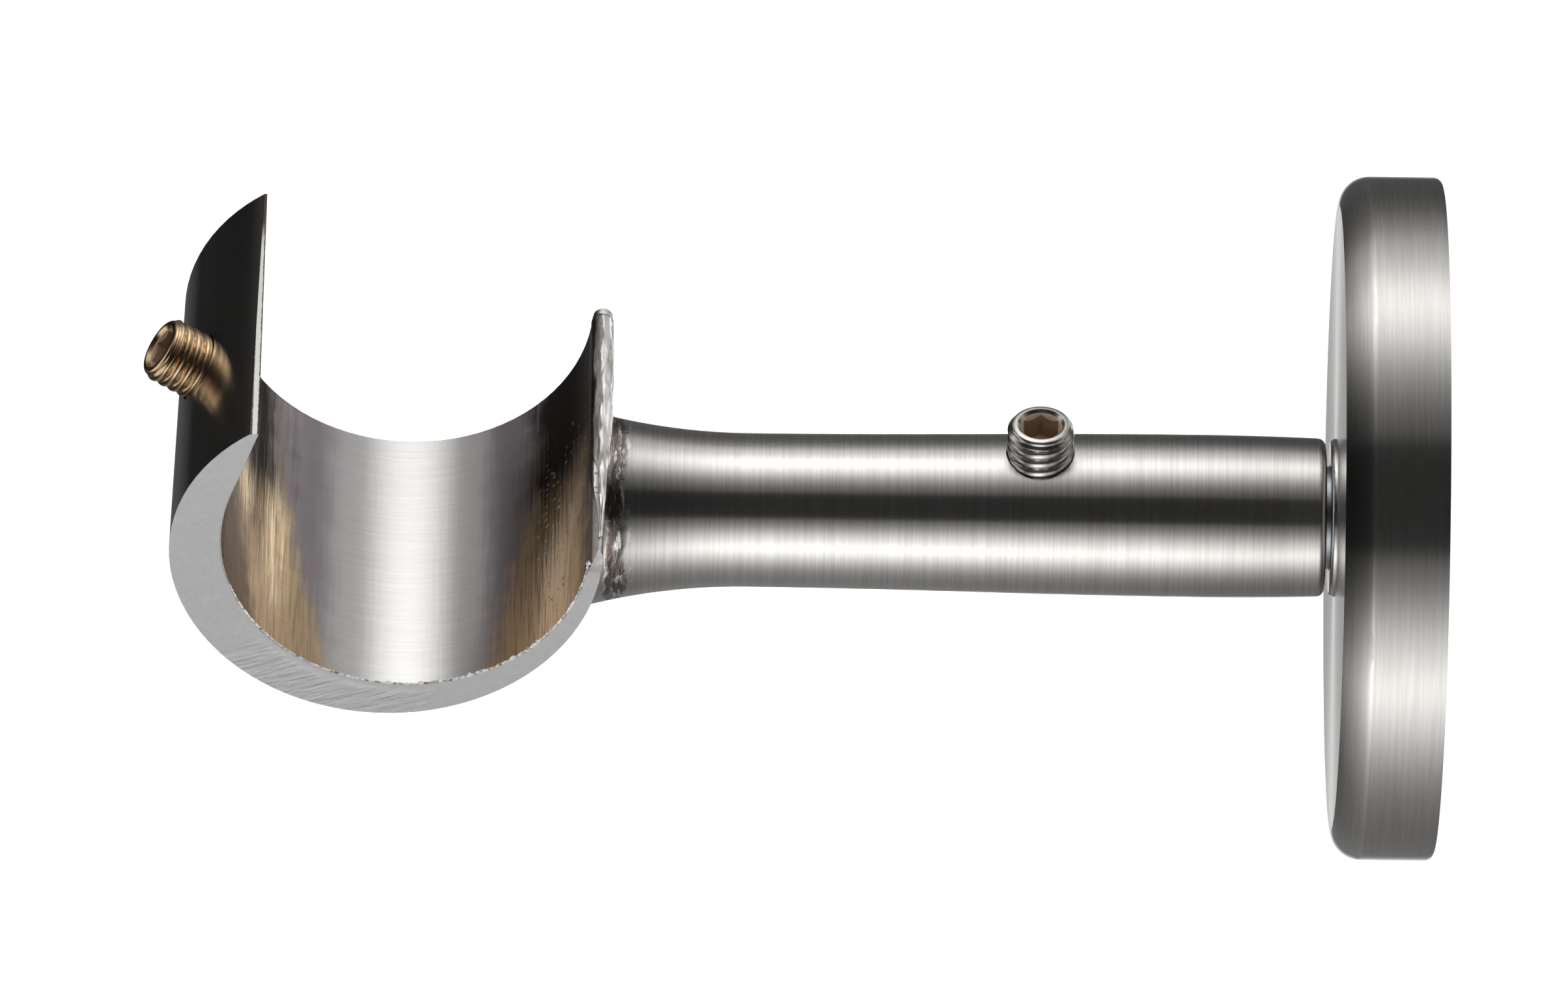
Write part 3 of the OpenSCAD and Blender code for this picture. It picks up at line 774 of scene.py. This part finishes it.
lipRim = {
    "stations": ((16.46, -73.5, 1.0), (14.5, -73.46, 1.02), (10.0, -73.4, 0.97), (2.0, -73.34, 0.98), (-3.5, -73.4, 0.78),
                 (-6.9, -73.24, 0.38), (-11.4, -73.28, 0.22), (-14.9, -73.33, 0.1)),
    "top": 9.16,
    "flatness": (0.4, 0.9),    # 1 is round, less is flatter on top: along the rim, and at its back end
    "rows": 260,
    "around": 40,
    "lumps": 0.1,              # mm
    "lumpLength": 3.2,         # mm along the rim
    "lumpWidth": 0.7,
    "streaks": 0.07,
    "streakLength": 2.4,       # mm
    "streakWidth": 0.26,
}


def stationAt(stations, y):
    for (y0, *first), (y1, *second) in zip(stations, stations[1:]):
        if y >= y1:
            t = (y0 - y) / (y0 - y1)
            t = t * t * (3 - 2 * t)
            return [a + (b - a) * t for a, b in zip(first, second)]
    return list(stations[-1][1:])


def makeLipRim(values, material):
    stations = values["stations"]
    bm = bmesh.new()
    rings = []
    start, end = stations[0][0], stations[-1][0]
    for row in range(values["rows"] + 1):
        y = start + (end - start) * row / values["rows"]
        middle, half = stationAt(stations, y)
        # both ends close round
        closing = min((start - y) / half, (y - end) / half, 1)
        closing = math.sqrt(max(1 - (1 - closing) ** 2, 0)) if row not in (0, values["rows"]) else 0.0
        ring = []
        for k in range(values["around"]):
            angle = 2 * math.pi * k / values["around"]
            across, up = math.cos(angle), math.sin(angle)
            lump = noise.noise(Vector((across * half / values["lumpWidth"], y / values["lumpLength"], up)))
            streak = noise.noise(Vector((across * half / values["streakWidth"], y / values["streakLength"], 5 + up)))
            # the back end is worn smooth
            worn = min(max((15 - y) / 7, 0.15), 1)
            uneven = (lump * values["lumps"] + streak * values["streaks"]) * worn
            reach = max(half + uneven, 0.001) * closing
            flatness = values["flatness"][0] + (values["flatness"][1] - values["flatness"][0]) * min(max((y - 11) / 3, 0), 1)
            flat = math.copysign(abs(up) ** flatness, up)
            ring.append(bm.verts.new((middle + reach * across, y, values["top"] - half + reach * flat)))
        rings.append(ring)
    for first, second in zip(rings, rings[1:]):
        for k in range(values["around"]):
            n = (k + 1) % values["around"]
            bm.faces.new((first[k], first[n], second[n], second[k]))
    bm.faces.new(rings[0])
    bm.faces.new(rings[-1][::-1])
    bmesh.ops.remove_doubles(bm, verts=bm.verts, dist=0.0005)
    bmesh.ops.recalc_face_normals(bm, faces=bm.faces)
    for face in bm.faces:
        face.smooth = True
    bm.transform(Matrix.Scale(mm, 4))
    mesh = bpy.data.meshes.new("lipRim")
    bm.to_mesh(mesh)
    bm.free()
    rim = addObject("lipRim", mesh, material)
    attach(rim, "arm")


# Torn metal that the cutter left on the front edge of the bore

boreBurr = {
    "from": -72,               # degrees round the bore from its bottom, + towards the wall
    "to": 84,
    "step": 0.3,
    "radius": 16.0,            # mm
    "face": -16.5,             # mm, the cup's front end along the pole
    "least": 0.07,             # mm
    "most": 0.46,
    "seed": 4.7,
}


def makeBoreBurr(values, material):
    bm = bmesh.new()
    boreX, boreZ, radius = castNickel["bore"]
    rings = []
    count = round((values["to"] - values["from"]) / values["step"])
    for i in range(count + 1):
        degrees = values["from"] + (values["to"] - values["from"]) * i / count
        share = 0.5 + 0.5 * noise.noise(Vector((degrees * 0.9, values["seed"], 0.0)))
        coarse = 0.5 + 0.5 * noise.noise(Vector((degrees * 0.08, values["seed"], 3.0)))
        right = 0.35 + 0.65 * min(max((degrees + 20) / 60, 0), 1)
        size = values["least"] + (values["most"] - values["least"]) * share ** 2 * coarse * 2 * right
        if i in (0, count):
            size = 0.004
        lean = 0.5 * noise.noise(Vector((degrees * 1.7, values["seed"], 8.0)))
        angle = math.radians(degrees)
        across = Vector((math.sin(angle), 0, -math.cos(angle)))
        foot = Vector((boreX, 0, boreZ)) + across * radius
        ring = [foot + across * size * 0.9 + Vector((0, values["face"] + 0.01, 0)),
                foot + across * (size * (0.1 + lean * 0.6)) + Vector((0, values["face"] - size * 0.55, 0)),
                foot - across * size * 0.55 + Vector((0, values["face"] + size * 0.1, 0)),
                foot + across * 0.01 + Vector((0, values["face"] + size * 1.6, 0))]
        rings.append([bm.verts.new(point) for point in ring])
    for first, second in zip(rings, rings[1:]):
        for k in range(4):
            n = (k + 1) % 4
            bm.faces.new((first[k], first[n], second[n], second[k]))
    bm.faces.new(rings[0])
    bm.faces.new(rings[-1][::-1])
    bmesh.ops.recalc_face_normals(bm, faces=bm.faces)
    bm.transform(Matrix.Scale(mm, 4))
    mesh = bpy.data.meshes.new("boreBurr")
    bm.to_mesh(mesh)
    bm.free()
    burr = addObject("boreBurr", mesh, material)
    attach(burr, "arm")


# Bare, torn and as-cast nickel: rough, bright where it catches the light

roughNickel = {
    "rim": {"plate": "#f4f2ef", "dark": "#c4bfba", "darker": "#8f8984", "metallic": 1.0, "roughness": 0.28,
            "grain": (2.4, 0.35, 2.4), "bump": 7e-5, "darkerEdge": (-73.4, -73.6)},
    "burr": {"plate": "#ffffff", "dark": "#8d867f", "darker": "#8d867f", "metallic": 0.5, "roughness": 0.35,
             "grain": (2.5, 2.5, 2.5), "bump": 5e-5, "darkerEdge": (-200, -201)},
}


def makeRoughNickel(name, values):
    # the grain is per mm; the rim's runs along it, as the saw went
    material, tree = newMaterial(name)
    place, x, y, z = partPlace(tree)
    grain = noiseAt(tree, stretched(tree, place, values["grain"]), 1.0, 4.0)
    colour = blendColours(tree, between(tree, grain, 0.35, 0.55), toLinear(values["dark"]), toLinear(values["plate"]))
    # darker on the side by the bore
    wavy = maths(tree, "ADD", x, maths(tree, "MULTIPLY", maths(tree, "SUBTRACT", grain, 0.5), 1.2))
    colour = blendColours(tree, between(tree, wavy, *values["darkerEdge"]), colour, toLinear(values["darker"]))
    bump = addNode(tree, "Bump", {"Height": grain, "Strength": 1.0, "Distance": values["bump"]})
    metal = addNode(tree, "BsdfPrincipled", {
        "Base Color": colour,
        "Metallic": values["metallic"],
        "Roughness": values["roughness"],
        "Normal": bump.outputs[0],
    })
    addNode(tree, "OutputMaterial", {"Surface": metal.outputs[0]})
    return material


makeLipRim(lipRim, makeRoughNickel("sawn cast nickel", roughNickel["rim"]))
makeBoreBurr(boreBurr, makeRoughNickel("torn zinc burr", roughNickel["burr"]))
print("rim and burr done")

# (name, node it replaces, body, length in mm, its point, its direction, where the hexagon's corner is, finish)
screws = (
    ("armScrew", "arm_grub_screw", "arm_screw", 5.7, (-35.0, 0.0, 4.55), (0.0, 0.0, 1.0), 30, "arm"),
    ("poleScrew", "pole_grub_screw", "pole_screw", 6.0, (-107.124, 0.0, 14.295), (-0.81915, 0.0, 0.57358), 0, "pole"),
)
for name, node, body, length, point, direction, hexTurn, finish in screws:
    socketEnd = tuple(p + length * d for p, d in zip(point, direction))
    metal = makeBrightNickel("bright nickel " + name, brightNickel, brightNickel[finish], socketEnd, direction)
    screw = makeGrubScrew(name, grubScrew, length, point, direction, hexTurn, body, metal)
    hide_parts(node)
print("screws done")
